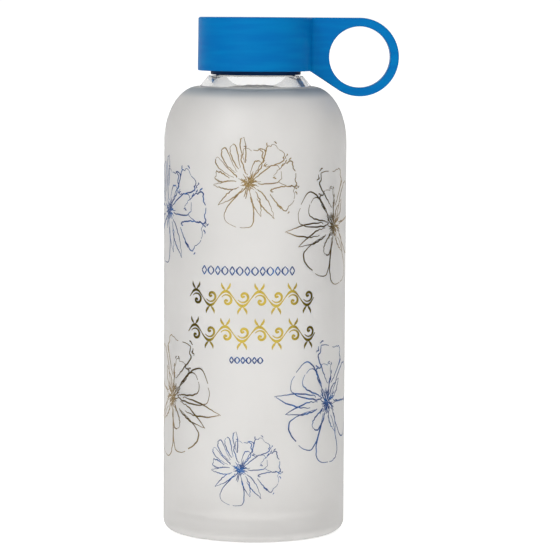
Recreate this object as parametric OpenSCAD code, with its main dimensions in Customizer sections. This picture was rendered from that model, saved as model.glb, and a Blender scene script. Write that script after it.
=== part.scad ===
// Glass water bottle with a screw-on lid and a moulded carry loop.
// Millimetres, +Z up. The origin is on the bottle's axis, in the plane it stands on, and the loop is towards +X.

/* [Bottle] */
// Outside diameter of the body
body_d = 77; // [64:0.5:100]
// Height of the glass, from the standing ring to the rim
glass_h = 211; // [150:1:260]
// Thickness of the body's wall
body_wall = 3.2; // [2:0.1:4]
// Thickness of the floor over the pushed-up underside
floor_t = 5; // [3:0.5:10]
// Rounding between the side and the base
base_round = 6; // [3:0.5:9]
// Rounding between the wall and the floor inside
inner_round = 9; // [4:0.5:14]
// Width of the flat ring that the bottle stands on
ring_w = 5; // [2:0.5:8]
// Height of the pushed-up underside at the centre
punt_h = 3; // [1:0.5:5]
// Height of the round shoulder
shoulder_h = 23.4; // [14:0.2:32]

/* [Neck] */
// Outside diameter of the neck at the root of its thread
neck_d = 32.8; // [26:0.1:40]
// Height of the neck, from its ledge to the rim
neck_h = 18.4; // [16:0.1:26]
// Thickness of the neck's wall
neck_wall = 2.2; // [1.6:0.1:3]
// Width of the ledge below the thread
ledge_w = 3.4; // [2.8:0.1:5]
// Height of the clear flare between the ledge and the shoulder
flare_h = 4.4; // [2:0.1:8]
// Angle of the flare from upright
flare_angle = 40; // [25:1:50]
// Thickness of the glass in the flare
flare_wall = 3.5; // [2.5:0.1:4.5]

/* [Thread] */
// Rise of the thread in one turn
thread_pitch = 4.2; // [3.4:0.1:6]
// Turns of the thread on the neck
neck_turns = 1.5; // [1:0.25:1.75]
// Turns of the thread in the insert
insert_turns = 1.25; // [0.75:0.25:1.5]
// Height of a thread ridge
ridge_h = 0.9; // [0.6:0.05:1.1]
// Width of a ridge at its root
ridge_root_w = 2; // [1.4:0.1:2.2]
// Width of a ridge at its crest
ridge_crest_w = 0.9; // [0.4:0.1:1.2]
// Gap between a crest and the wall that it faces
crest_gap = 0.3; // [0.2:0.05:0.5]
// Gap between the flanks of the two threads
flank_gap = 0.33; // [0.25:0.01:0.5]
// Distance from the rim down to the top end of the neck's thread
thread_drop = 4.8; // [4:0.1:7]

/* [Insert and seal] */
// Thickness of the threaded insert's wall
insert_wall = 1.35; // [1:0.05:2.5]
// Thickness of the insert's roof
insert_roof = 2; // [1.2:0.1:3]
// Gap between the insert's lower edge and the ledge
ledge_gap = 0.4; // [0.3:0.1:1.5]
// Thickness of the silicone seal
seal_t = 1.6; // [1:0.1:3]
// Gap between the seal's edge and the insert's wall
seal_gap = 0.3; // [0.1:0.05:0.6]
// How far the seal reaches inwards past the bore of the glass
seal_lap = 0.6; // [0.2:0.1:2]

/* [Lid cover] */
// Height of the cover
cover_h = 22.4; // [18:0.1:30]
// Thickness of the cover's roof
cover_roof = 2.4; // [1.5:0.1:4]
// Thickness of the cover's skirt
skirt_wall = 2; // [1.2:0.1:3]
// Space between the insert and the skirt
skirt_space = 3.2; // [2.4:0.1:6]
// How much wider the skirt's radius is at its foot than at its top
skirt_draft = 0.25; // [0:0.05:0.6]
// Thickness of the collar that grips the insert
collar_t = 1.4; // [0.8:0.1:2]
// Depth of the collar below the roof
collar_h = 12; // [6:0.5:16]
// Gap between the collar and the insert
collar_gap = 0.05; // [0.02:0.01:0.1]
// Number of ribs between the collar and the skirt
rib_count = 12; // [6:1:24]
// Thickness of a rib
rib_t = 1.2; // [0.8:0.1:2]
// Rounding of the top edge of the cover, and of the loop's edges
top_round = 0.9; // [0.4:0.1:1.6]
// Rounding of the cover's lower edge
foot_round = 0.5; // [0.2:0.1:0.9]

/* [Carry loop] */
// Diameter of the hole in the loop
loop_hole_d = 25.6; // [20:0.2:34]
// Width of the band round the hole
loop_band = 3.64; // [2.5:0.01:6]
// Thickness of the loop
loop_t = 9; // [5:0.5:12]
// Distance from the cover's side to the hole
loop_bridge = 6.6; // [4:0.1:12]
// Rounding where the loop meets the cover
loop_fillet = 3; // [1:0.5:5]
// How far inside the cover's side the loop's lower edge starts
loop_foot_in = 1.5; // [0.5:0.1:1.8]

/* [Hidden] */

$fn = 96;
arc_steps = 6;       // straight pieces in each small rounding, and more in a large one
shoulder_steps = 24; // straight pieces in the shoulder's curve
punt_steps = 8;      // straight pieces in the underside's dome
thread_steps = 36;   // straight pieces in one turn of thread
thread_fade = 30;    // degrees over which a ridge rises at its ends
sink = 0.3;          // how far a ridge's root lies inside its wall
over = 1;            // how far a cutting solid runs past a face

body_r = body_d / 2;
inner_r = body_r - body_wall;
neck_r = neck_d / 2;
bore_r = neck_r - neck_wall;
ledge_r = neck_r + ledge_w;
flare_r = ledge_r + flare_h * tan(flare_angle);
ledge_z = glass_h - neck_h;
shoulder_top = ledge_z - flare_h;
shoulder_z = shoulder_top - shoulder_h;
ring_in = body_r - base_round - ring_w;
floor_z = punt_h + floor_t;

// The throat's slope runs parallel to the flare, a wall's thickness inside it
throat_top_z = ledge_z + (ledge_r - bore_r - flare_wall / cos(flare_angle)) / tan(flare_angle);
throat_z = shoulder_top - body_wall;
throat_r = bore_r + (throat_top_z - throat_z) * tan(flare_angle);

insert_bore = neck_r + ridge_h + crest_gap;
insert_r = insert_bore + insert_wall;
insert_z = ledge_z + ledge_gap;
seal_z = glass_h;
insert_roof_z = seal_z + seal_t;
insert_top = insert_roof_z + insert_roof;

cover_top = insert_top + cover_roof;
cover_z = cover_top - cover_h;
skirt_in = insert_r + skirt_space;
cover_r = skirt_in + skirt_wall;
foot_r = cover_r + skirt_draft;
collar_in = insert_r + collar_gap;
collar_r = collar_in + collar_t;

loop_in = loop_hole_d / 2;
loop_r = loop_in + loop_band;
loop_x = cover_r + loop_bridge + loop_in;
loop_z = cover_top - loop_r;

// The web's lower edge runs from the skirt's foot to where it touches the ring, as [x, z] points
loop_eye = [loop_x, loop_z];
loop_foot = [cover_r - loop_foot_in, cover_z];
loop_away = loop_eye - loop_foot;
loop_slope = atan2(loop_away.y, loop_away.x) - asin(loop_r / norm(loop_away));
loop_touch = loop_eye + loop_r * [sin(loop_slope), -cos(loop_slope)];

// The insert's ridge runs just below the neck's, a flank gap away
flank_slope = (ridge_root_w - ridge_crest_w) / 2 / ridge_h;
mesh_drop = ridge_root_w / 2 - flank_slope * crest_gap + ridge_crest_w / 2 + flank_gap;
neck_thread_z = glass_h - thread_drop - neck_turns * thread_pitch;
insert_thread_z = neck_thread_z - mesh_drop;

function unit(v) = v / norm(v);

// Points of an arc that rounds the corner at p, between the points before and after it
function corner(before, p, after, radius) =
    let (
        u = unit(before - p),
        v = unit(after - p),
        half = acos(u * v) / 2,
        centre = p + unit(u + v) * radius / sin(half),
        first = p + u * radius / tan(half) - centre,
        turn = (u.x * v.y - u.y * v.x > 0 ? -1 : 1) * (180 - 2 * half),
        start = atan2(first.y, first.x),
        steps = max(arc_steps, 2 * ceil(radius))
    )
    [for (i = [0:steps]) centre + radius * [cos(start + turn * i / steps), sin(start + turn * i / steps)]];

// An outline of [r, z, rounding] points, with every rounding above 0 drawn as an arc
function rounded(points) =
    let (n = len(points), flat = [for (p = points) [p[0], p[1]]])
    [for (i = [0:n - 1])
        each points[i][2] > 0
            ? corner(flat[(i + n - 1) % n], flat[i], flat[(i + 1) % n], points[i][2])
            : [flat[i]]];

// A quarter of an ellipse from the side to the top, as [r, z, 0] points without its two ends
function shoulder_curve(side_r, top_r, height) =
    [for (i = [1:shoulder_steps - 1])
        let (a = 90 * i / shoulder_steps)
        [top_r + (side_r - top_r) * cos(a), shoulder_z + height * sin(a), 0]];

function reversed(list) = [for (i = [len(list) - 1:-1:0]) list[i]];

// The dome of the underside, from the centre outwards
function punt_curve() =
    [for (i = [0:punt_steps - 1])
        let (share = i / punt_steps)
        [ring_in * share, punt_h * (1 - share * share), 0]];

function glass_outline() = concat(
    punt_curve(),
    [[ring_in, 0, 0], [body_r, 0, base_round], [body_r, shoulder_z, 0]],
    shoulder_curve(body_r, flare_r, shoulder_h),
    [
        [flare_r, shoulder_top, 0],
        [ledge_r, ledge_z, 0.8],
        [neck_r, ledge_z, 0.6],
        [neck_r, glass_h, 0.9],
        [bore_r, glass_h, 0.9],
        [bore_r, throat_top_z, 4],
        [throat_r, throat_z, 0]
    ],
    reversed(shoulder_curve(inner_r, throat_r, shoulder_h - body_wall)),
    [[inner_r, shoulder_z, 0], [inner_r, floor_z, inner_round], [0, floor_z, 0]]
);

// Share of the full ridge height at a place along the thread, rising and falling near the ends
function fade(angle, whole) = min(1, angle / thread_fade, (whole - angle) / thread_fade);

// A right-hand helical ridge on a wall of radius wall_r; side is 1 to stand outwards and -1 inwards
module ridge(wall_r, side, start_z, turns) {
    whole = turns * 360;
    count = round(turns * thread_steps);
    root_r = wall_r - side * sink;
    points = [for (i = [0:count])
        let (
            a = whole * i / count,
            z = start_z + thread_pitch * a / 360,
            crest_r = wall_r + side * (-sink / 2 + (ridge_h + sink / 2) * fade(a, whole))
        )
        each [for (c = [
            [root_r, -ridge_root_w / 2],
            [crest_r, -ridge_crest_w / 2],
            [crest_r, ridge_crest_w / 2],
            [root_r, ridge_root_w / 2]
        ]) [c.x * cos(a), c.x * sin(a), z + c.y]]];
    sides = [for (i = [0:count - 1], k = [0:3])
        let (p = 4 * i + k, q = 4 * i + (k + 1) % 4)
        each [[p, q, p + 4], [q, q + 4, p + 4]]];
    ends = [[0, 2, 1], [0, 3, 2], [4 * count, 4 * count + 1, 4 * count + 2],
        [4 * count, 4 * count + 2, 4 * count + 3]];
    faces = concat(sides, ends);
    polyhedron(points, side > 0 ? faces : [for (f = faces) reversed(f)]);
}

module glass_bottle() {
    color("gainsboro") {
        rotate_extrude() polygon(rounded(glass_outline()));
        ridge(neck_r, 1, neck_thread_z, neck_turns);
    }
}

module thread_insert() {
    color("midnightblue") {
        rotate_extrude() polygon(rounded([
            [insert_bore, insert_z, 0.3],
            [insert_r, insert_z, 0.3],
            [insert_r, insert_top, 0],
            [0, insert_top, 0],
            [0, insert_roof_z, 0],
            [insert_bore, insert_roof_z, 0]
        ]));
        ridge(insert_bore, -1, insert_thread_z, insert_turns);
    }
}

module seal_gasket() {
    outer = insert_bore - seal_gap;
    inner = bore_r - seal_lap;
    color("whitesmoke")
        rotate_extrude() polygon(rounded([
            [inner, seal_z, 0.3],
            [outer, seal_z, 0.3],
            [outer, insert_roof_z, 0.3],
            [inner, insert_roof_z, 0.3]
        ]));
}

// Roof, skirt and collar as one turned outline
module cover_cup() {
    rotate_extrude() polygon(rounded([
        [0, cover_top, 0],
        [cover_r, cover_top, top_round],
        [foot_r, cover_z, foot_round],
        [skirt_in, cover_z, foot_round],
        [skirt_in, insert_top, 0],
        [collar_r, insert_top, 0],
        [collar_r, insert_top - collar_h, 0],
        [collar_in, insert_top - collar_h, 0],
        [collar_in, insert_top, 0],
        [0, insert_top, 0]
    ]));
}

module cover_ribs() {
    for (i = [0:rib_count - 1])
        rotate([0, 0, (i + 0.5) * 360 / rib_count])
            translate([(collar_in + collar_r) / 2, -rib_t / 2, insert_top - collar_h])
                cube([(skirt_in + cover_r) / 2 - (collar_in + collar_r) / 2, rib_t, collar_h + over]);
}

// A bar along +X as thick as the loop, with its top at z 0 and its two top edges rounded
module edge_bar(length, depth) {
    half = loop_t / 2;
    rotate([90, 0, 90]) linear_extrude(length)
        polygon(rounded([[-half, -depth, 0], [half, -depth, 0], [half, 0, top_round], [-half, 0, top_round]]));
}

// Seen from the front, the loop is a round eye level with the cover's top, and a web that joins it to the skirt
module web_side() {
    polygon([[0, cover_top + over], [loop_x, cover_top + over], loop_eye, loop_touch, loop_foot, [0, cover_z]]);
}

module loop_web() {
    intersection() {
        rotate([90, 0, 0]) linear_extrude(2 * loop_t, center = true) difference() {
            web_side();
            translate(loop_eye) circle(loop_in + loop_band / 2);
        }
        translate([0, 0, cover_top]) edge_bar(loop_x + over, cover_h + loop_r);
        translate([loop_foot.x, 0, loop_foot.y]) rotate([0, -loop_slope, 0]) mirror([0, 0, 1])
            translate([-cover_r, 0, 0]) edge_bar(cover_r + loop_x, cover_h + loop_r);
    }
}

// Fills the corners between the web and the skirt with an upright concave rounding, which flares at the top edge
module loop_fillets() {
    half = loop_t / 2;
    reach = cover_r + loop_fillet;
    centre = [sqrt(reach * reach - (half + loop_fillet) * (half + loop_fillet)), half + loop_fillet];
    touch = centre * cover_r / reach;
    rise = cover_h + loop_fillet;
    difference() {
        intersection() {
            translate([0, 0, cover_top - rise]) linear_extrude(rise)
                polygon([[0, touch.y], touch, [centre.x, half], [centre.x, -half], [touch.x, -touch.y], [0, -touch.y]]);
            rotate([90, 0, 0]) linear_extrude(2 * reach, center = true) web_side();
        }
        for (s = [-1, 1]) translate([centre.x, s * centre.y, 0])
            rotate_extrude() polygon(rounded([
                [0, cover_top - rise - over, 0],
                [loop_fillet, cover_top - rise - over, 0],
                [loop_fillet, cover_top, top_round],
                [loop_fillet + top_round + over, cover_top, 0],
                [loop_fillet + top_round + over, cover_top + over, 0],
                [0, cover_top + over, 0]
            ]));
    }
}

module loop_ring() {
    half = loop_t / 2;
    translate([loop_x, 0, loop_z]) rotate([90, 0, 0]) rotate_extrude()
        polygon(rounded([
            [loop_in, -half, top_round],
            [loop_r, -half, top_round],
            [loop_r, half, top_round],
            [loop_in, half, top_round]
        ]));
}

module lid_cover() {
    color("dodgerblue") {
        cover_cup();
        cover_ribs();
        loop_ring();
        difference() {
            union() {
                loop_web();
                loop_fillets();
            }
            translate([0, 0, cover_z - loop_r * 2]) cylinder(r = skirt_in + skirt_wall / 2, h = cover_h + loop_r * 3);
        }
    }
}

glass_bottle();
thread_insert();
seal_gasket();
lid_cover();
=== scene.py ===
"""Frosted glass water bottle: its looks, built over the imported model.

The glass is turned on a lathe and gets its screw thread. The printed flowers and ornaments are drawn
flat and rolled round the body. The lid's moulded parts keep their exact shapes and get their finishes.
Lengths are in metres, apart from the drawings, which are in millimetres. +Z is up, and the front of the
bottle faces -Y.
"""

import logging
import math
import random
from dataclasses import dataclass, field
from enum import Enum
from functools import cache
from itertools import pairwise

import bpy
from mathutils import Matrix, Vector


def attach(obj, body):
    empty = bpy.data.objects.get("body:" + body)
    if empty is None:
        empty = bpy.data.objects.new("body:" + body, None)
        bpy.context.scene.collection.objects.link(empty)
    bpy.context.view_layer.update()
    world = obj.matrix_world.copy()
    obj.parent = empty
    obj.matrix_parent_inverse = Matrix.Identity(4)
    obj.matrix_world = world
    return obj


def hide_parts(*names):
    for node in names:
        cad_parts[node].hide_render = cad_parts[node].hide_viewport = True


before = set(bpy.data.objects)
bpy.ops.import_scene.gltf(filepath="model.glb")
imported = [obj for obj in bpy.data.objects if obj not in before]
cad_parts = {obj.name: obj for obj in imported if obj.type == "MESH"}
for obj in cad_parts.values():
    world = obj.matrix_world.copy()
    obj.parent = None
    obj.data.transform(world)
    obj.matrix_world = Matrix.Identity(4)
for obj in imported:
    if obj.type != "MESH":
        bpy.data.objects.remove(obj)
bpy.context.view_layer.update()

LOG = logging.getLogger("bottle")
MM = 0.001

Colour = tuple[float, float, float, float]
Point = tuple[float, float]


# ---------------------------------------------------------------- shader nodes


class Value:
    """A number in a node tree that Python expressions can use."""

    def __init__(self, nodes: "Nodes", socket: bpy.types.NodeSocket) -> None:
        """Wraps a socket.

        Args:
            nodes: The tree that the socket belongs to.
            socket: The output socket that holds the number.
        """
        self.nodes = nodes
        self.socket = socket

    def __add__(self, other: "Value | float") -> "Value":
        """The sum of two numbers."""
        return self.nodes.math("ADD", self, other)

    def __radd__(self, other: float) -> "Value":
        """The same sum, with the plain number first."""
        return self.nodes.math("ADD", other, self)

    def __sub__(self, other: "Value | float") -> "Value":
        """The difference of two numbers."""
        return self.nodes.math("SUBTRACT", self, other)

    def __rsub__(self, other: float) -> "Value":
        """The difference, with the plain number first."""
        return self.nodes.math("SUBTRACT", other, self)

    def __mul__(self, other: "Value | float") -> "Value":
        """The product of two numbers."""
        return self.nodes.math("MULTIPLY", self, other)

    def __rmul__(self, other: float) -> "Value":
        """The same product, with the plain number first."""
        return self.nodes.math("MULTIPLY", other, self)

    def step(self, low: float, high: float) -> "Value":
        """A smooth rise from 0 at low to 1 at high.

        Args:
            low: Where the rise starts.
            high: Where the rise ends.

        Returns:
            The share of the rise that is done.
        """
        node = self.nodes.add(
            "ShaderNodeMapRange",
            {"interpolation_type": "SMOOTHSTEP"},
            {"Value": self, "From Min": low, "From Max": high},
        )
        return Value(self.nodes, node.outputs["Result"])


class Nodes:
    """A node tree that is filled in from empty."""

    def __init__(self, tree: bpy.types.NodeTree) -> None:
        """Empties the tree.

        Args:
            tree: The tree of a material or of the world.
        """
        self.tree = tree
        tree.nodes.clear()

    def add(self, kind: str, settings: dict | None = None, inputs: dict | None = None) -> bpy.types.Node:
        """Adds one node.

        Args:
            kind: The node's type.
            settings: Properties to set first, such as a Math node's operation.
            inputs: Values, sockets or plain values for its inputs, by name or number.

        Returns:
            The node.
        """
        node = self.tree.nodes.new(kind)
        for name, setting in (settings or {}).items():
            setattr(node, name, setting)
        for name, given in (inputs or {}).items():
            given = given.socket if isinstance(given, Value) else given
            if isinstance(given, bpy.types.NodeSocket):
                self.tree.links.new(given, node.inputs[name])
            else:
                node.inputs[name].default_value = given
        return node

    def math(self, operation: str, *numbers: "Value | float") -> Value:
        """Adds a Math node.

        Args:
            operation: The node's operation.
            numbers: Its one or two numbers.

        Returns:
            The result.
        """
        node = self.add("ShaderNodeMath", {"operation": operation}, dict(enumerate(numbers)))
        return Value(self, node.outputs[0])

    def place(self) -> bpy.types.NodeSocket:
        """The place on the object, in metres."""
        return self.add("ShaderNodeTexCoord").outputs["Object"]

    def stretched(self, scale: tuple[float, float, float]) -> bpy.types.NodeSocket:
        """The place on the object, stretched along its axes.

        Args:
            scale: How much each coordinate is multiplied.

        Returns:
            The stretched place.
        """
        node = self.add("ShaderNodeMapping", {}, {"Vector": self.place(), "Scale": scale})
        return node.outputs[0]

    def noise(self, grain: float, detail: float = 2.0, at: bpy.types.NodeSocket | None = None) -> Value:
        """Soft noise between 0 and 1.

        Args:
            grain: Size of its patches in metres.
            detail: Number of finer layers.
            at: Where it is read, or None for the plain place on the object.

        Returns:
            The noise.
        """
        node = self.add(
            "ShaderNodeTexNoise",
            {},
            {"Vector": at or self.place(), "Scale": 1 / grain, "Detail": detail},
        )
        return Value(self, node.outputs[0])

    def blend(
        self, share: "Value | float", first: "Colour | bpy.types.NodeSocket", second: Colour
    ) -> bpy.types.NodeSocket:
        """A mix of two colours.

        Args:
            share: How much of the second colour there is.
            first: The colour at share 0.
            second: The colour at share 1.

        Returns:
            The mixed colour.
        """
        node = self.add("ShaderNodeMix", {"data_type": "RGBA"}, {0: share, 6: first, 7: second})
        return node.outputs[2]

    def bump(self, height: Value, depth: float, strength: float = 1.0) -> bpy.types.NodeSocket:
        """A surface normal tilted by a height.

        Args:
            height: Height between 0 and 1.
            depth: Depth of the relief in metres.
            strength: Share of the relief that is kept.

        Returns:
            The normal.
        """
        node = self.add("ShaderNodeBump", {}, {"Strength": strength, "Distance": depth, "Height": height})
        return node.outputs[0]


# ---------------------------------------------------------------- finishes


@dataclass(frozen=True)
class Finish:
    """What all finishes share: the material slot they belong to, and a way to make the material once."""

    slot: str

    def surface(self, nodes: Nodes) -> bpy.types.Node:
        """Builds the shader. Each finish has its own.

        Args:
            nodes: The material's tree.

        Returns:
            The shader node.
        """
        raise NotImplementedError

    @cache
    def material(self) -> bpy.types.Material:
        """The finish as a material, made the first time it is asked for.

        Returns:
            The material.
        """
        made = bpy.data.materials.new(f"{self.slot}_finish")
        made.use_nodes = True
        nodes = Nodes(made.node_tree)
        shader = self.surface(nodes)
        nodes.add("ShaderNodeOutputMaterial", {}, {"Surface": shader.outputs[0]})
        return made


@dataclass(frozen=True)
class FrostedGlass(Finish):
    """Glass under an etched coat that scatters the light.

    The coat's colour carries a painted shade: darker in a ring all round under the neck, where the lid
    shades it, and paler again at its top edge.
    """

    slot: str = "frosted_glass"
    tone: Colour = (0.81, 0.795, 0.775, 1)
    cloud: Colour = (0.785, 0.77, 0.75, 1)
    # colour of the painted shade: the lid's shadow under the neck, painted into the coat
    shade: Colour = (0.36, 0.41, 0.45, 1)
    shade_low: float = 183.2 * MM
    shade_high: float = 187.0 * MM
    edge_low: float = 187.3 * MM
    edge_high: float = 188.0 * MM
    edge_fade: float = 0.8
    see_through: float = 0.55
    roughness: float = 0.5

    def surface(self, nodes: Nodes) -> bpy.types.Node:
        """A rough glass with a faintly cloudy colour, a painted shade under the neck and a fine etched
        grain.
        """
        clouds = nodes.noise(22 * MM, 3)
        height = Value(nodes, nodes.add("ShaderNodeSeparateXYZ", {}, {0: nodes.place()}).outputs["Z"])
        etched = nodes.blend(clouds.step(0.35, 0.7), self.tone, self.cloud)
        # painted shade: the lid's shadow is painted into the base colour in a ring round the neck, and
        # faded out again at the coat's top edge
        painted_shade_mask = height.step(self.shade_low, self.shade_high)
        painted_shade_mask = painted_shade_mask - self.edge_fade * height.step(self.edge_low, self.edge_high)
        grain = nodes.noise(0.35 * MM, 2)
        return nodes.add(
            "ShaderNodeBsdfPrincipled",
            {},
            {
                "Base Color": nodes.blend(painted_shade_mask, etched, self.shade),
                "Roughness": self.roughness - 0.04 + 0.08 * grain,
                "Transmission Weight": self.see_through,
                "IOR": 1.5,
                "Normal": nodes.bump(grain, 0.01 * MM, 0.3),
            },
        )


@dataclass(frozen=True)
class ClearGlass(Finish):
    """Polished glass with the slight waviness of a moulded bottle."""

    slot: str = "clear_glass"
    tint: Colour = (0.95, 0.95, 0.945, 1)

    def surface(self, nodes: Nodes) -> bpy.types.Node:
        """A clear glass whose surface is gently wavy and barely smudged."""
        waves = nodes.noise(5 * MM, 1)
        smudge = nodes.noise(9 * MM, 3)
        return nodes.add(
            "ShaderNodeBsdfPrincipled",
            {},
            {
                "Base Color": self.tint,
                "Roughness": 0.03 * smudge.step(0.45, 0.8) + 0.005,
                "Transmission Weight": 1.0,
                "IOR": 1.5,
                "Normal": nodes.bump(waves, 0.04 * MM, 0.5),
            },
        )


@dataclass(frozen=True)
class MouldedPlastic(Finish):
    """Satin plastic as it comes out of the mould."""

    slot: str = "lid_plastic"
    colour: Colour = (0.0, 0.12, 0.36, 1)
    flow: Colour = (0.0, 0.15, 0.39, 1)
    roughness: float = 0.36
    shine: float = 0.04

    def surface(self, nodes: Nodes) -> bpy.types.Node:
        """A satin surface with flow marks, a fine grain and handling marks."""
        streaks = nodes.noise(9 * MM, 2, nodes.stretched((0.35, 0.35, 3.0)))
        grain = nodes.noise(0.4 * MM, 2)
        rubbed = nodes.noise(6 * MM, 4).step(0.55, 0.75)
        return nodes.add(
            "ShaderNodeBsdfPrincipled",
            {},
            {
                "Base Color": nodes.blend(streaks.step(0.3, 0.75), self.colour, self.flow),
                "Roughness": self.roughness + 0.08 * grain - 0.07 * rubbed,
                "Specular IOR Level": self.shine,
                "Normal": nodes.bump(grain, 0.02 * MM, 0.35),
            },
        )


@dataclass(frozen=True)
class Silicone(Finish):
    """Milky food-grade silicone."""

    slot: str = "seal_silicone"
    colour: Colour = (0.82, 0.83, 0.8, 1)
    dusty: Colour = (0.74, 0.75, 0.73, 1)

    def surface(self, nodes: Nodes) -> bpy.types.Node:
        """A soft milky surface with a dusty sheen."""
        dust = nodes.noise(2.5 * MM, 4)
        return nodes.add(
            "ShaderNodeBsdfPrincipled",
            {},
            {
                "Base Color": nodes.blend(dust.step(0.4, 0.8), self.colour, self.dusty),
                "Roughness": 0.5 + 0.15 * dust,
                "Subsurface Weight": 0.3,
                "Subsurface Scale": 1.5 * MM,
                "Sheen Weight": 0.2,
                "Normal": nodes.bump(dust, 0.02 * MM, 0.4),
            },
        )


@dataclass(frozen=True)
class GoldFoil(Finish):
    """Hot-stamped gold foil."""

    slot: str = "gold_foil"
    colour: Colour = (0.5, 0.375, 0.06, 1)
    worn: Colour = (0.38, 0.27, 0.05, 1)

    def surface(self, nodes: Nodes) -> bpy.types.Node:
        """A bright metal film with thin spots and fine creases."""
        thin = nodes.noise(1.6 * MM, 3)
        crease = nodes.noise(0.5 * MM, 3)
        return nodes.add(
            "ShaderNodeBsdfPrincipled",
            {},
            {
                "Base Color": nodes.blend(thin.step(0.45, 0.75), self.colour, self.worn),
                "Metallic": 1.0,
                "Roughness": 0.24 + 0.14 * thin,
                "Normal": nodes.bump(crease, 0.01 * MM, 0.4),
            },
        )


@dataclass(frozen=True)
class PrintedInk(Finish):
    """Screen-printed ink with an uneven cover."""

    slot: str = "blue_ink"
    colour: Colour = (0.005, 0.035, 0.15, 1)
    thin: Colour = (0.01, 0.1, 0.32, 1)

    def surface(self, nodes: Nodes) -> bpy.types.Node:
        """A satin film whose blue is lighter where less ink was laid."""
        cover = nodes.noise(3 * MM, 3)
        return nodes.add(
            "ShaderNodeBsdfPrincipled",
            {},
            {
                "Base Color": nodes.blend(cover.step(0.4, 0.7), self.colour, self.thin),
                "Roughness": 0.4 + 0.15 * cover,
                "Normal": nodes.bump(cover, 0.01 * MM, 0.3),
            },
        )


@dataclass(frozen=True)
class StudioSweep(Finish):
    """The pale paper that the bottle stands on."""

    slot: str = "studio_sweep"
    hollow: Colour = (0.93, 0.93, 0.93, 1)
    raised: Colour = (0.95, 0.95, 0.95, 1)
    glow: float = 0.5

    def surface(self, nodes: Nodes) -> bpy.types.Node:
        """A matt white with a faint paper tooth."""
        tooth = nodes.noise(1.5 * MM, 3)
        return nodes.add(
            "ShaderNodeBsdfPrincipled",
            {},
            {
                "Base Color": nodes.blend(tooth, self.hollow, self.raised),
                "Roughness": 0.9,
                "Specular IOR Level": 0.2,
                "Emission Color": (1, 1, 1, 1),
                "Emission Strength": self.glow,
            },
        )


@dataclass(frozen=True)
class BlackCard(Finish):
    """The black card that gives the glass and the foil their dark edges."""

    slot: str = "black_card"
    colour: Colour = (0.01, 0.01, 0.012, 1)

    def surface(self, nodes: Nodes) -> bpy.types.Node:
        """A matt black."""
        return nodes.add("ShaderNodeBsdfDiffuse", {}, {"Color": self.colour})


# ---------------------------------------------------------------- workshop


class Workshop:
    """The modelling steps that several pieces share."""

    @staticmethod
    def only(obj: bpy.types.Object) -> None:
        """Selects one object and makes it active.

        Args:
            obj: The object.
        """
        bpy.ops.object.select_all(action="DESELECT")
        obj.select_set(True)
        bpy.context.view_layer.objects.active = obj

    @staticmethod
    def settle(obj: bpy.types.Object) -> None:
        """Puts an object's place, turn and scale into its mesh.

        Args:
            obj: The object.
        """
        Workshop.only(obj)
        bpy.ops.object.transform_apply(location=True, rotation=True, scale=True)

    @staticmethod
    def finish_shape(obj: bpy.types.Object, angle: float = 35) -> None:
        """Merges doubled points, turns the faces outwards and smooths the shading.

        Args:
            obj: The object.
            angle: Edges sharper than this many degrees stay sharp.
        """
        Workshop.only(obj)
        bpy.ops.object.mode_set(mode="EDIT")
        bpy.ops.mesh.select_all(action="SELECT")
        bpy.ops.mesh.remove_doubles(threshold=0.0005 * MM)
        bpy.ops.mesh.normals_make_consistent(inside=False)
        bpy.ops.object.mode_set(mode="OBJECT")
        bpy.ops.object.shade_smooth_by_angle(angle=math.radians(angle))

    @staticmethod
    def outline(name: str, points: list[Point]) -> bpy.types.Object:
        """Draws an open outline in the XZ plane by extruding a single point.

        Args:
            name: The new object's name.
            points: The outline as (radius, height) pairs.

        Returns:
            The object that holds the outline.
        """
        bpy.ops.object.select_all(action="DESELECT")
        bpy.ops.mesh.primitive_plane_add(size=MM, location=(0, 0, 0))
        obj = bpy.context.object
        obj.name = obj.data.name = name
        bpy.ops.object.mode_set(mode="EDIT")
        bpy.ops.mesh.select_all(action="SELECT")
        bpy.ops.mesh.merge(type="CENTER")
        bpy.ops.transform.translate(value=(points[0][0], 0, points[0][1]))
        for (r0, z0), (r1, z1) in pairwise(points):
            bpy.ops.mesh.extrude_region_move(TRANSFORM_OT_translate={"value": (r1 - r0, 0, z1 - z0)})
        bpy.ops.object.mode_set(mode="OBJECT")
        return obj

    @staticmethod
    def turn(obj: bpy.types.Object, steps: int) -> None:
        """Turns an outline into a solid of revolution round the bottle's axis.

        Args:
            obj: The outline.
            steps: Number of steps in the full turn.
        """
        Workshop.only(obj)
        bpy.ops.object.mode_set(mode="EDIT")
        bpy.ops.mesh.select_all(action="SELECT")
        bpy.ops.mesh.spin(steps=steps, angle=math.tau, center=(0, 0, 0), axis=(0, 0, 1))
        bpy.ops.object.mode_set(mode="OBJECT")
        Workshop.finish_shape(obj)

    @staticmethod
    def use_modifier(obj: bpy.types.Object, kind: str, **settings: object) -> None:
        """Adds a modifier and applies it at once.

        Args:
            obj: The object.
            kind: The modifier's type.
            settings: The modifier's properties.
        """
        Workshop.only(obj)
        modifier = obj.modifiers.new(kind.lower(), kind)
        for name, setting in settings.items():
            setattr(modifier, name, setting)
        bpy.ops.object.modifier_apply(modifier=modifier.name)


# ---------------------------------------------------------------- glass


class Wall(Enum):
    """The two finishes of the glass, by material slot number."""

    FROSTED = 0
    CLEAR = 1


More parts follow.
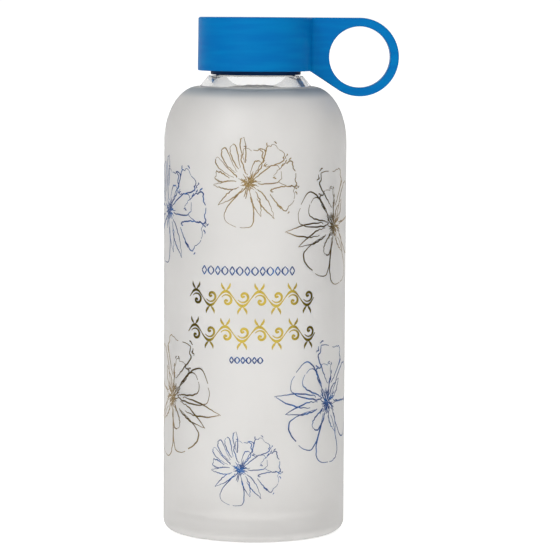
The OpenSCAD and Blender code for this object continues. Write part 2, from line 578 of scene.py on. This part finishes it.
@dataclass
class GlassBottle:
    """The glass: body, shoulder, clear flare, ledge and threaded neck, as one turned solid."""

    body_r: float = 38.4 * MM
    inner_r: float = 35.3 * MM
    shoulder_z: float = 164.8 * MM
    shoulder_h: float = 23.4 * MM
    wall: float = 3.2 * MM
    flare_r: float = 23.49 * MM
    throat_r: float = 21.61 * MM
    throat_top: float = 193.83 * MM
    ledge_r: float = 19.8 * MM
    ledge_z: float = 192.6 * MM
    neck_r: float = 16.4 * MM
    bore_r: float = 14.2 * MM
    rim_z: float = 211.0 * MM
    floor_z: float = 8.0 * MM
    punt: float = 3.0 * MM
    ring_in: float = 27.5 * MM
    under_z: float = 5.5 * MM
    base_round: float = 4.5 * MM
    inner_round: float = 9.0 * MM
    ledge_round: float = 0.8 * MM
    root_round: float = 0.6 * MM
    rim_round: float = 0.9 * MM
    throat_round: float = 4.0 * MM
    waist_round: float = 7.0 * MM
    turns: float = 1.5
    pitch: float = 4.2 * MM
    thread_z: float = 199.9 * MM
    ridge_h: float = 0.9 * MM
    root_w: float = 2.0 * MM
    crest_w: float = 0.9 * MM
    rise_rate: float = 12.0
    lathe_steps: int = 144
    dome_steps: int = 14
    side_steps: int = 20
    round_steps: int = 14

    @property
    def shoulder_top(self) -> float:
        """Height where the frosted coat ends."""
        return self.shoulder_z + self.shoulder_h

    @staticmethod
    def rounded(before: Point, corner: Point, after: Point, radius: float, steps: int = 8) -> list[Point]:
        """The points of an arc that rounds a corner.

        Args:
            before: The outline's point before the corner.
            corner: The corner.
            after: The point after it.
            radius: Radius of the arc.
            steps: Straight pieces in the arc.

        Returns:
            The arc's points in order.
        """
        p = Vector(corner)
        u = (Vector(before) - p).normalized()
        v = (Vector(after) - p).normalized()
        half = u.angle(v) / 2
        centre = p + (u + v).normalized() * radius / math.sin(half)
        first = p + u * radius / math.tan(half) - centre
        turn = (math.pi - 2 * half) * (-1 if u.x * v.y - u.y * v.x > 0 else 1)
        start = math.atan2(first.y, first.x)
        angles = [start + turn * i / steps for i in range(steps + 1)]
        return [(centre.x + radius * math.cos(a), centre.y + radius * math.sin(a)) for a in angles]

    def shoulder(self, side_r: float, top_r: float, height: float, steps: int = 36) -> list[Point]:
        """A quarter of an ellipse from the side up to the shoulder's top.

        Args:
            side_r: Radius at the side.
            top_r: Radius at the top.
            height: Height of the curve.
            steps: Straight pieces in the curve.

        Returns:
            The curve's points from the side to the top.
        """
        angles = [math.pi / 2 * i / steps for i in range(steps + 1)]
        return [
            (top_r + (side_r - top_r) * math.cos(a), self.shoulder_z + height * math.sin(a))
            for a in angles
        ]

    def section(self) -> list[Point]:
        """The glass cut through its axis, from the underside round to the floor inside.

        Returns:
            The outline as (radius, height) pairs, starting and ending on the axis.
        """
        count = self.dome_steps
        dome = [(self.ring_in * i / count, self.punt * (1 - (i / count) ** 2)) for i in range(count)]
        foot = (self.body_r, 0.0)
        ledge, root = (self.ledge_r, self.ledge_z), (self.neck_r, self.ledge_z)
        rim, mouth = (self.neck_r, self.rim_z), (self.bore_r, self.rim_z)
        throat, waist = (self.bore_r, self.throat_top), (self.throat_r, self.shoulder_top - self.wall)
        corner, middle = (self.inner_r, self.floor_z), (0.0, self.floor_z)
        top = (self.flare_r, self.shoulder_top)
        side = [(self.body_r, self.shoulder_z * i / self.side_steps) for i in range(1, self.side_steps)]
        # the rounding at the waist takes the place of the inner shoulder's last six points
        inside = self.shoulder(self.inner_r, self.throat_r, self.shoulder_h - self.wall)[:-6]
        return [
            *dome,
            (self.ring_in, 0.0),
            *self.rounded(dome[-1], foot, side[-1], self.base_round, self.round_steps),
            *side[1:],
            *self.shoulder(self.body_r, self.flare_r, self.shoulder_h),
            *self.rounded(top, ledge, root, self.ledge_round),
            *self.rounded(ledge, root, rim, self.root_round),
            *self.rounded(root, rim, mouth, self.rim_round),
            *self.rounded(rim, mouth, throat, self.rim_round),
            *self.rounded(mouth, throat, waist, self.throat_round),
            *self.rounded(throat, waist, inside[-1], self.waist_round, 12),
            *reversed(inside),
            *self.rounded(
                (self.inner_r, self.shoulder_z), corner, middle, self.inner_round, self.round_steps
            ),
            middle,
        ]

    def ridge(self) -> bpy.types.Object:
        """The thread's ridge as a solid of its own, with its root sunk into the neck.

        Returns:
            The ridge.
        """
        sunk = 0.3 * MM
        root_r, crest_r = self.neck_r - sunk, self.neck_r + self.ridge_h
        bpy.ops.object.select_all(action="DESELECT")
        bpy.ops.mesh.primitive_plane_add(
            size=1, location=((root_r + crest_r) / 2, 0, self.thread_z), rotation=(math.pi / 2, 0, 0)
        )
        obj = bpy.context.object
        obj.name = obj.data.name = "thread_ridge"
        obj.scale = (crest_r - root_r, self.root_w, 1)
        Workshop.settle(obj)
        for vertex in obj.data.vertices:
            if vertex.co.x > self.neck_r:
                vertex.co.z = self.thread_z + math.copysign(self.crest_w / 2, vertex.co.z - self.thread_z)
        steps_a_turn = 48
        steps = round(self.turns * steps_a_turn)
        bpy.ops.object.mode_set(mode="EDIT")
        bpy.ops.mesh.select_all(action="SELECT")
        for _ in range(steps):
            bpy.ops.mesh.extrude_region_move(
                TRANSFORM_OT_translate={"value": (0, 0, self.pitch * self.turns / steps)}
            )
            bpy.ops.transform.rotate(
                value=-math.tau * self.turns / steps, orient_axis="Z", center_override=(0, 0, 0)
            )
        bpy.ops.object.mode_set(mode="OBJECT")
        self.fade_ends(obj)
        Workshop.finish_shape(obj, angle=25)
        return obj

    def fade_ends(self, ridge: bpy.types.Object) -> None:
        """Lets the ridge rise out of the neck over its first and last twelfth of a turn.

        Args:
            ridge: The ridge at its full height.
        """
        hidden = 0.15 * MM
        for vertex in ridge.data.vertices:
            radius = math.hypot(vertex.co.x, vertex.co.y)
            if radius > self.neck_r:
                angle = math.atan2(vertex.co.y, vertex.co.x) % math.tau
                guess = (vertex.co.z - self.thread_z) / self.pitch
                run = angle / math.tau + round(guess - angle / math.tau)
                rise = max(0.0, min(1.0, run * self.rise_rate, (self.turns - run) * self.rise_rate))
                wanted = self.neck_r - hidden + (self.ridge_h + hidden) * rise
                vertex.co.x *= wanted / radius
                vertex.co.y *= wanted / radius

    def coat(self, obj: bpy.types.Object) -> None:
        """Gives the outside below the flare the frosted finish and all the rest the clear one.

        Args:
            obj: The finished glass.
        """
        obj.data.materials.clear()
        for finish in (FrostedGlass(), ClearGlass()):
            obj.data.materials.append(finish.material())
        middle_r = (self.body_r + self.inner_r) / 2
        for face in obj.data.polygons:
            radius = math.hypot(face.center.x, face.center.y)
            inward = face.normal.x * face.center.x + face.normal.y * face.center.y < 0
            low = face.center.z < self.shoulder_top
            outer = radius > middle_r or face.center.z < self.under_z
            if face.center.z > self.shoulder_z:
                outer = not inward and face.normal.z > 0
            face.material_index = (Wall.FROSTED if low and outer else Wall.CLEAR).value

    def build(self) -> bpy.types.Object:
        """Turns the glass, joins its thread to it and coats it.

        Returns:
            The glass as one piece.
        """
        glass = Workshop.outline("frosted_bottle", self.section())
        Workshop.turn(glass, self.lathe_steps)
        ridge = self.ridge()
        Workshop.use_modifier(glass, "BOOLEAN", operation="UNION", solver="EXACT", object=ridge)
        bpy.data.objects.remove(ridge)
        Workshop.only(glass)
        bpy.ops.object.shade_smooth_by_angle(angle=math.radians(35))
        self.coat(glass)
        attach(glass, "bottle")
        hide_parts("glass_bottle")
        return glass


# ---------------------------------------------------------------- lid


@dataclass
class ScrewLid:
    """The lid's moulded parts, which keep their exact shapes."""

    finishes: dict[str, Finish] = field(
        default_factory=lambda: {
            "lid_cover": MouldedPlastic(),
            "thread_insert": MouldedPlastic(
                "insert_plastic", (0.004, 0.022, 0.075, 1), (0.006, 0.03, 0.095, 1), 0.42
            ),
            "seal_gasket": Silicone(),
        }
    )

    def build(self) -> list[bpy.types.Object]:
        """Dresses each part in its finish.

        Returns:
            The parts.
        """
        parts = []
        for name, finish in self.finishes.items():
            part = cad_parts[name]
            part.data.materials.clear()
            part.data.materials.append(finish.material())
            parts.append(part)
        return parts


# ---------------------------------------------------------------- prints


class Print(Enum):
    """The two colours that are printed on the glass."""

    GOLD = GoldFoil()
    OLD_GOLD = GoldFoil(colour=(0.3, 0.21, 0.09, 1), worn=(0.17, 0.11, 0.05, 1))
    BLUE = PrintedInk()


class Tip(Enum):
    """The ways in which a petal can end."""

    ROUND = "round"
    POINTED = "pointed"
    RUFFLED = "ruffled"


@dataclass(frozen=True)
class Stroke:
    """One line of a drawing, in millimetres, with a line width at each point."""

    points: list[Point]
    widths: list[float]


@dataclass(frozen=True)
class Petal:
    """One petal.

    Its turn is in degrees, clockwise from straight up, and its sizes are shares of the blossom's radius.
    """

    turn: float
    length: float
    width: float
    tip: Tip = Tip.ROUND
    lean: float = 0.0
    start: float = 0.12

    def edge(self, share: float, side: float, pen: random.Random) -> Point:
        """A point on the petal's edge.

        Args:
            share: 0 at the heart of the blossom and 1 at the tip.
            side: -1 for the left edge and 1 for the right one, less between them and more outside.
            pen: The hand's unsteadiness.

        Returns:
            The point as shares of the blossom's size, before the petal is turned.
        """
        blunt, tremble = 0.85, 0.006
        if self.tip is Tip.POINTED:
            along, across = share, math.sin(math.pi * share**blunt)
        else:
            # a blunt ellipse that narrows towards its foot
            angle = math.pi * share
            along = (1 - math.copysign(abs(math.cos(angle)) ** blunt, math.cos(angle))) / 2
            across = 1.15 * math.sin(angle) ** 0.75 * (0.2 + 0.8 * along)
        if self.tip is Tip.RUFFLED:
            # lobes that begin two fifths of the way out
            outer = max(0.0, min(1.0, 3 * along - 1.2))
            lobe = 0.2 * (abs(math.sin(11 * share + self.turn)) - 0.6) * outer
            along, across = 0.5 + (along - 0.5) * (1 + lobe), across * (1 + lobe)
        u = self.length * (self.start + (1 - self.start) * along)
        v = side * self.width / 2 * across + self.lean * self.length * along**2
        return u + pen.gauss(0, tremble), v + pen.gauss(0, tremble)

    def strokes(self, size: float, pen: random.Random) -> list[Stroke]:
        """The sketched edges of the petal, the lines at its foot and the dashes beside a ruffled one.

        Args:
            size: The blossom's radius in millimetres.
            pen: The hand's unsteadiness.

        Returns:
            The strokes.
        """
        drawn = []
        wide, short = 0.3, 4
        count = 26 if self.tip is Tip.RUFFLED else 15
        for side in (-1, 1):
            first = pen.uniform(0.08, 0.3)
            last = pen.uniform(0.95, 1.0) if side < 0 else 1.0
            drawn.append(self.line(side, first, last, size, pen, count))
        if self.width > wide:
            for _ in range(2):
                first = pen.uniform(0.02, 0.1)
                side = pen.uniform(-0.6, 0.6)
                last = first + pen.uniform(0.1, 0.3)
                drawn.append(self.line(side, first, last, size, pen, short))
        if self.tip is Tip.RUFFLED:
            for _ in range(5):
                first = pen.uniform(0.4, 0.9)
                side = pen.choice((-1.12, 1.12))
                drawn.append(self.line(side, first, first + 0.07, size * 1.05, pen, short))
        return drawn

    def line(
        self, side: float, first: float, last: float, size: float, pen: random.Random, count: int
    ) -> Stroke:
        """A stroke that follows the petal's edge, or runs along inside or outside it.

        Args:
            side: -1 or 1 for an edge, less for a line inside and more for one outside.
            first: Where along the petal the stroke starts.
            last: Where it ends.
            size: The blossom's radius in millimetres.
            pen: The hand's unsteadiness.
            count: Number of points.

        Returns:
            The stroke, in millimetres.
        """
        sine, cosine = math.sin(math.radians(self.turn)), math.cos(math.radians(self.turn))
        heavy = pen.uniform(0.2, 0.8)
        thin, swell, reach, weight = 0.12, 0.22, 0.35, 0.85
        points, widths = [], []
        for i in range(count):
            share = i / (count - 1)
            u, v = self.edge(first + (last - first) * share, side, pen)
            points.append((size * (u * sine + v * cosine), size * (u * cosine - v * sine)))
            widths.append((thin + swell * math.exp(-(((share - heavy) / reach) ** 2))) * weight)
        return Stroke(points, widths)


class Bloom(Enum):
    """The two blossoms of the pattern, as lists of petals."""

    PEONY = (
        Petal(-98, 0.9, 0.2, Tip.POINTED, 0.08),
        Petal(-80, 0.86, 0.26, Tip.RUFFLED, 0.05, 0.5),
        Petal(-64, 1.0, 0.22, Tip.ROUND, 0.16, 0.3),
        Petal(-48, 1.04, 0.24, Tip.ROUND, 0.18, 0.34),
        Petal(-31, 1.0, 0.22, Tip.ROUND, 0.14, 0.4),
        Petal(-10, 1.12, 0.15, Tip.ROUND, 0.04, 0.44),
        Petal(8, 0.84, 0.62, Tip.RUFFLED),
        Petal(24, 0.6, 0.24, Tip.ROUND, 0.04, 0.16),
        Petal(42, 1.12, 0.6, Tip.RUFFLED, 0, 0.5),
        Petal(72, 0.84, 0.5, Tip.ROUND, -0.04),
        Petal(78, 1.2, 0.74, Tip.RUFFLED, 0, 0.52),
        Petal(110, 1.18, 0.7, Tip.RUFFLED, 0, 0.46),
        Petal(137, 1.06, 0.2, Tip.POINTED, 0.12),
        Petal(156, 0.86, 0.2, Tip.POINTED, 0.06),
        Petal(196, 1.1, 0.88, Tip.ROUND),
        Petal(238, 0.94, 0.17, Tip.POINTED, -0.06),
    )
    ANEMONE = (
        Petal(8, 1.08, 0.9, Tip.RUFFLED, 0, 0.32),
        Petal(-10, 0.74, 0.5, Tip.RUFFLED, 0, 0.2),
        Petal(-54, 1.0, 0.78, Tip.ROUND, 0.04, 0.16),
        Petal(-46, 0.82, 0.46, Tip.ROUND, 0.04, 0.24),
        Petal(-84, 1.24, 0.26, Tip.POINTED, 0.04),
        Petal(-97, 1.02, 0.2, Tip.POINTED, -0.04),
        Petal(-131, 1.04, 0.86, Tip.ROUND, 0, 0.18),
        Petal(-142, 0.6, 0.26, Tip.ROUND),
        Petal(178, 1.16, 0.82, Tip.ROUND),
        Petal(154, 0.68, 0.2, Tip.POINTED),
        Petal(118, 1.02, 0.84, Tip.ROUND, 0, 0.16),
        Petal(66, 1.04, 0.86, Tip.ROUND, 0, 0.16),
        Petal(46, 0.6, 0.18, Tip.POINTED),
    )

    def strokes(self, size: float) -> list[Stroke]:
        """The whole blossom: its petals and its dense heart.

        Args:
            size: The blossom's radius in millimetres.

        Returns:
            The strokes.
        """
        pen = random.Random(self.name)
        drawn = [stroke for petal in self.value for stroke in petal.strokes(size, pen)]
        rays, dots, spread = 34, 26, 0.075 * size
        for i in range(rays):
            turn, reach = math.tau * i / rays + pen.gauss(0, 0.12), size * pen.uniform(0.1, 0.28)
            foot, bow = size * pen.uniform(0.0, 0.08), size * pen.gauss(0, 0.02)
            sine, cosine = math.sin(turn), math.cos(turn)
            points = [
                (sine * r + cosine * bow * b, cosine * r - sine * bow * b)
                for r, b in ((foot, 0), ((foot + reach) / 2, 1), (reach, 0))
            ]
            drawn.append(Stroke(points, [0.14, 0.24, 0.08]))
        for _ in range(dots):
            x, z = pen.gauss(0, spread), pen.gauss(0, spread)
            end = (x + pen.gauss(0, 0.3), z + pen.gauss(0, 0.3))
            drawn.append(Stroke([(x, z), end], [0.3, 0.16]))
        return drawn


class Printing:
    """Lays strokes on the glass: drawn flat, given their width, and rolled round the body.

    A printed line's thickness is the film's share of its width.
    """

    print_r: float = 38.445 * MM
    film: float = 0.03
    pattern_r: float = 10.0

    @classmethod
    def draw(cls, name: str, strokes: list[Stroke]) -> bpy.types.Object:
        """Draws strokes flat, as a mesh that stands upright in the XZ plane.

        Args:
            name: The new object's name.
            strokes: The strokes, in millimetres.

        Returns:
            The drawing.
        """
        bpy.ops.object.select_all(action="DESELECT")
        bpy.ops.curve.primitive_bezier_curve_add(radius=MM, location=(0, 0, 0))
        obj = bpy.context.object
        obj.name = obj.data.name = name
        curve = obj.data
        curve.splines.clear()
        curve.dimensions = "3D"
        curve.resolution_u = 3
        curve.bevel_depth = MM / 2  # a point's radius is then its line width in millimetres
        curve.bevel_resolution = 0
        curve.use_fill_caps = True
        for stroke in strokes:
            spline = curve.splines.new("BEZIER")
            spline.bezier_points.add(len(stroke.points) - 1)
            for point, (x, z), width in zip(spline.bezier_points, stroke.points, stroke.widths):
                point.co = (x * MM, z * MM, 0)
                point.radius = width
                point.handle_left_type = point.handle_right_type = "AUTO"
        bpy.ops.object.convert(target="MESH")
        obj = bpy.context.object
        obj.scale.z = cls.film
        obj.rotation_euler.x = math.pi / 2
        Workshop.settle(obj)
        return obj

    @classmethod
    def roll(cls, obj: bpy.types.Object) -> None:
        """Rolls a flat drawing round the body.

        Args:
            obj: The drawing, in the XZ plane, with the front at x 0.
        """
        across = [vertex.co.x for vertex in obj.data.vertices]
        width = max(across) - min(across)
        Workshop.use_modifier(
            obj, "SIMPLE_DEFORM", deform_method="BEND", deform_axis="Z", angle=width / cls.print_r
        )
        obj.location.y = -cls.print_r
        Workshop.settle(obj)

    @classmethod
    def stamp(cls, obj: bpy.types.Object, colour: Print) -> None:
        """Rolls a drawing round the body and prints it.

        Args:
            obj: The drawing.
            colour: What it is printed with.
        """
        cls.roll(obj)
        Workshop.finish_shape(obj, angle=60)
        obj.data.materials.clear()
        obj.data.materials.append(colour.value.material())
        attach(obj, "bottle")


@dataclass(frozen=True)
class Blossom:
    """A printed blossom and its place on the body, in millimetres round from the front and up.

    Its size is its radius in millimetres, and its turn is in degrees.
    """

    name: str
    bloom: Bloom
    colour: Print
    across: float
    height: float
    size: float
    turn: float = 0.0
    mirrored: bool = False

    def build(self, pattern: bpy.types.Object) -> bpy.types.Object:
        """Copies the pattern to the blossom's place and prints it.

        Args:
            pattern: The bloom, drawn flat with the printing's pattern radius.

        Returns:
            The printed blossom.
        """
        Workshop.only(pattern)
        bpy.ops.object.duplicate(linked=False)
        obj = bpy.context.object
        obj.name = obj.data.name = self.name
        scale = self.size / Printing.pattern_r
        obj.scale = (-scale if self.mirrored else scale, 1, scale)
        obj.rotation_euler.y = math.radians(self.turn)
        obj.location = (self.across * MM, 0, self.height * MM)
        Workshop.settle(obj)
        Printing.stamp(obj, self.colour)
        return obj


@dataclass
class FlowerPattern:
    """All the printed blossoms, in front and round the back."""

    blossoms: tuple[Blossom, ...] = (
        Blossom("gold_peony_top", Bloom.PEONY, Print.OLD_GOLD, -2.8, 149.4, 16.8),
        Blossom("blue_peony_left", Bloom.PEONY, Print.BLUE, -46.0, 136.5, 20.5, 6),
        Blossom("gold_anemone_right", Bloom.ANEMONE, Print.OLD_GOLD, 39.0, 131.0, 21.5, -12),
        Blossom("gold_anemone_left", Bloom.ANEMONE, Print.OLD_GOLD, -42.0, 59.0, 23.0, 20, True),
        Blossom("blue_anemone_right", Bloom.ANEMONE, Print.BLUE, 35.2, 57.5, 22.0),
        Blossom("blue_peony_low", Bloom.PEONY, Print.BLUE, -5.8, 31.2, 14.0),
        Blossom("gold_peony_back", Bloom.PEONY, Print.OLD_GOLD, 118.0, 148.0, 18.0),
        Blossom("blue_peony_back_right", Bloom.PEONY, Print.BLUE, 82.0, 108.0, 20.0, -10),
        Blossom("gold_anemone_back_left", Bloom.ANEMONE, Print.OLD_GOLD, -92.0, 118.0, 21.0, 40),
        Blossom("blue_anemone_back", Bloom.ANEMONE, Print.BLUE, 118.0, 88.0, 20.0, 15, True),
        Blossom("gold_anemone_back_right", Bloom.ANEMONE, Print.OLD_GOLD, 80.0, 48.0, 20.0, -25),
        Blossom("blue_peony_back_left", Bloom.PEONY, Print.BLUE, -92.0, 54.0, 20.0, 12),
        Blossom("gold_peony_back_low", Bloom.PEONY, Print.OLD_GOLD, 115.0, 35.0, 16.0, -8),
    )

    def build(self) -> list[bpy.types.Object]:
        """Draws each bloom once and prints every blossom from it.

        Returns:
            The printed blossoms.
        """
        patterns = {
            bloom: Printing.draw(bloom.name.lower(), bloom.strokes(Printing.pattern_r)) for bloom in Bloom
        }
        made = [blossom.build(patterns[blossom.bloom]) for blossom in self.blossoms]
        for pattern in patterns.values():
            bpy.data.objects.remove(pattern)
        return made


@dataclass
class ScrollPanel:
    """The gold ornament on the front: two rows of a running vine with curls and leaves.

    A row is its height, its number of half waves and the length of one. Sizes are in millimetres.
    """

    centre: float = -1.6
    rows: tuple[tuple[float, int, float], ...] = ((102.0, 8, 7.0), (87.4, 8, 7.2))
    rise: float = 3.0
    curl_r: float = 2.7

    def vine(self, start: float, z: float, count: int, half: float) -> Stroke:
        """The running stem of a row, swelling on each crest.

        Args:
            start: Where the row starts.
            z: Height of its middle.
            count: Number of half waves.
            half: Length of a half wave.

        Returns:
            The stroke.
        """
        points_a_wave = 6
        shares = [i / points_a_wave for i in range(points_a_wave * count + 1)]
        points = [(start + half * s, z + self.rise * math.sin(math.pi * s)) for s in shares]
        return Stroke(points, [0.35 + 0.85 * math.sin(math.pi * s) ** 2 for s in shares])

    def curl(self, x: float, z: float, way: int) -> list[Stroke]:
        """The curl under a crest, with a bud in its eye and two leaves outside the crest.

        Args:
            x: The middle of the half wave.
            z: Height of the row's middle.
            way: 1 for a crest above the middle and -1 for one below.

        Returns:
            The strokes.
        """
        eye = (x + 0.5, z - way * 0.9)
        count, first_angle, angle_step = 14, 2.6, 0.55
        spiral = []
        for i in range(count):
            angle, radius = first_angle - angle_step * i, self.curl_r * (1 - i / (count + 1))
            spiral.append((eye[0] + radius * math.cos(angle), eye[1] + way * radius * math.sin(angle)))
        widths = [0.3 + 0.75 * math.sin(math.pi * i / (count - 1)) for i in range(count)]
        crest = z + way * (self.rise + 0.4)
        leaves = [
            Stroke(
                [
                    (x + lean * 0.3, crest),
                    (x + lean * 1.2, crest + way * 0.9),
                    (x + lean * 1.9, crest + way * 1.9),
                    (x + lean * 2.1, crest + way * 3.1),
                ],
                [0.25, 0.95, 0.85, 0.12],
            )
            for lean in (-0.9, 0.9)
        ]
        bud = Stroke([(eye[0] - 0.5, eye[1]), eye, (eye[0] + 0.5, eye[1])], [0.5, 1.1, 0.5])
        return [Stroke(spiral, widths), bud, *leaves]

    def build(self) -> list[bpy.types.Object]:
        """Draws and prints the rows.

        Returns:
            The panel as one piece.
        """
        strokes = []
        for z, count, half in self.rows:
            start = self.centre - count * half / 2
            strokes.append(self.vine(start, z, count, half))
            for i in range(count):
                strokes += self.curl(start + (i + 0.5) * half, z, 1 if i % 2 == 0 else -1)
        panel = Printing.draw("gold_scroll_panel", strokes)
        Printing.stamp(panel, Print.GOLD)
        return [panel]


@dataclass
class BeadRows:
    """The two thin rows of small blue ornaments above and below the gold panel.

    A row is its name, the middle of it across and up, its width and its ornaments' height, in millimetres.
    """

    rows: tuple[tuple[str, float, float, float, float], ...] = (
        ("blue_bead_row", -3.1, 113.4, 41.0, 3.7),
        ("blue_bead_row_small", -3.6, 76.6, 16.0, 2.8),
    )

    def bead(self, x: float, z: float, tall: float, odd: bool) -> list[Stroke]:
        """One ornament: an open diamond, or a pair of small leaves.

        Args:
            x: Its middle.
            z: Its middle height.
            tall: Its height.
            odd: True for the leaves.

        Returns:
            The strokes.
        """
        h, w = tall / 2, tall * 0.3
        foot, top = (x, z - h), (x, z + h)
        if odd:
            return [
                Stroke([foot, (x - w * 1.2, z), top], [0.35, 0.8, 0.3]),
                Stroke([foot, (x + w * 1.2, z), top], [0.35, 0.65, 0.3]),
            ]
        corners = [foot, (x - w, z), top, (x + w, z), foot]
        return [
            Stroke([a, ((a[0] + b[0]) / 2, (a[1] + b[1]) / 2), b], [0.4, 0.58, 0.4])
            for a, b in pairwise(corners)
        ]

    def build(self) -> list[bpy.types.Object]:
        """Draws and prints the rows.

        Returns:
            One piece for each row.
        """
        made = []
        for name, centre, height, width, tall in self.rows:
            pitch = tall * 0.85
            count = int(width / pitch)
            strokes = []
            for i in range(count):
                strokes += self.bead(centre + (i - (count - 1) / 2) * pitch, height, tall, i % 2 == 1)
            row = Printing.draw(name, strokes)
            Printing.stamp(row, Print.BLUE)
            made.append(row)
        return made


# ---------------------------------------------------------------- studio


@dataclass
class Studio:
    """A white sweep, soft light from the front, back and top, dimmer sides, black cards and the camera.

    The camera's pitch, roll and pan are in degrees and its lens is in millimetres.
    """

    eye: tuple[float, float, float] = (-0.0031, -1.1948, 0.2192)
    pitch: float = 5.4
    roll: float = -0.35
    pan: float = -0.63
    lens: float = 182.3
    sweep_r: float = 30.0
    sweep_gap: float = 0.05 * MM
    card_out: float = 0.24
    card_place: Point = (-0.05, 0.16)
    card_size: Point = (0.32, 0.3)
    brightness: float = 1.05

    def floor(self) -> None:
        """Lays the sweep just under the standing ring."""
        bpy.ops.object.select_all(action="DESELECT")
        bpy.ops.mesh.primitive_circle_add(
            vertices=64, radius=self.sweep_r, fill_type="NGON", location=(0, 0, -self.sweep_gap)
        )
        sweep = bpy.context.object
        sweep.name = "studio_sweep"
        sweep.data.materials.append(StudioSweep().material())

    def sky(self) -> None:
        """The light from all round: bright in front, behind and above, and dim at the two sides.

        The camera sees plain white instead.
        """
        world = bpy.data.worlds.new("studio_light")
        world.use_nodes = True
        bpy.context.scene.world = world
        nodes = Nodes(world.node_tree)
        towards = nodes.add("ShaderNodeTexCoord").outputs["Generated"]
        parts = nodes.add("ShaderNodeSeparateXYZ", {}, {0: towards})
        across = Value(nodes, parts.outputs["X"])
        level = self.brightness - 0.62 * across.step(0.4, 0.95) - 0.8 * (-1.0 * across).step(0.4, 0.9)
        seen = Value(nodes, nodes.add("ShaderNodeLightPath").outputs["Is Camera Ray"])
        light = nodes.add("ShaderNodeBackground", {}, {"Strength": level})
        white = nodes.add("ShaderNodeBackground", {}, {"Color": (1, 1, 1, 1), "Strength": self.brightness})
        mixed = nodes.add("ShaderNodeMixShader", {}, {0: seen, 1: light.outputs[0], 2: white.outputs[0]})
        nodes.add("ShaderNodeOutputWorld", {}, {"Surface": mixed.outputs[0]})

    def flag(self, name: str, side: int) -> None:
        """Stands a black card beside the bottle, seen only in glossy reflections.

        Args:
            name: The card's name.
            side: -1 for the left and 1 for the right.
        """
        bpy.ops.object.select_all(action="DESELECT")
        bpy.ops.mesh.primitive_grid_add(
            x_subdivisions=2,
            y_subdivisions=2,
            size=1,
            location=(side * self.card_out, *self.card_place),
            rotation=(0, math.pi / 2, 0),
        )
        card = bpy.context.object
        card.name = name
        card.scale = (*self.card_size, 1)
        card.data.materials.append(BlackCard().material())
        card.visible_camera = False
        card.visible_diffuse = False
        card.visible_transmission = False
        card.visible_shadow = False

    def softbox(self, name: str, place: Point, height: float, size: float, power: float) -> None:
        """Hangs a square soft light that points at the bottle.

        Args:
            name: The light's name.
            place: Its place seen from above, as (x, y).
            height: Its height.
            size: The length of its side.
            power: Its power in watts.
        """
        bpy.ops.object.light_add(type="AREA", location=(place[0], place[1], height))
        box = bpy.context.object
        box.name = name
        box.data.size = size
        box.data.energy = power
        aim = Vector((0, 0, 0.11)) - box.location
        box.rotation_euler = aim.to_track_quat("-Z", "Y").to_euler()

    def camera(self) -> None:
        """Sets the camera up in front, a little above the bottle and looking slightly down."""
        bpy.ops.object.camera_add(
            location=self.eye,
            rotation=tuple(math.radians(a) for a in (90 - self.pitch, self.roll, self.pan)),
        )
        camera = bpy.context.object
        camera.data.lens = self.lens
        camera.data.sensor_width = 36
        bpy.context.scene.camera = camera

    def build(self) -> None:
        """Sets up the floor, the lights, the camera and the plain colour response."""
        self.floor()
        self.sky()
        self.softbox("key_light", (-0.9, -1.3), 1.2, 0.9, 14)
        self.softbox("edge_light", (1.3, -0.8), 0.9, 0.35, 1.5)
        self.flag("left_flag", -1)
        self.flag("right_flag", 1)
        self.camera()
        bpy.context.scene.view_settings.view_transform = "Standard"


def main() -> None:
    """Builds the bottle and its studio."""
    logging.basicConfig(level=logging.INFO, format="%(message)s")
    Studio().build()
    pieces = [GlassBottle().build()]
    for assembly in (ScrewLid(), FlowerPattern(), ScrollPanel(), BeadRows()):
        pieces += assembly.build()
    for piece in pieces:
        LOG.info("%s: %d faces", piece.name, len(piece.data.polygons))


if __name__ == "__main__":
    main()
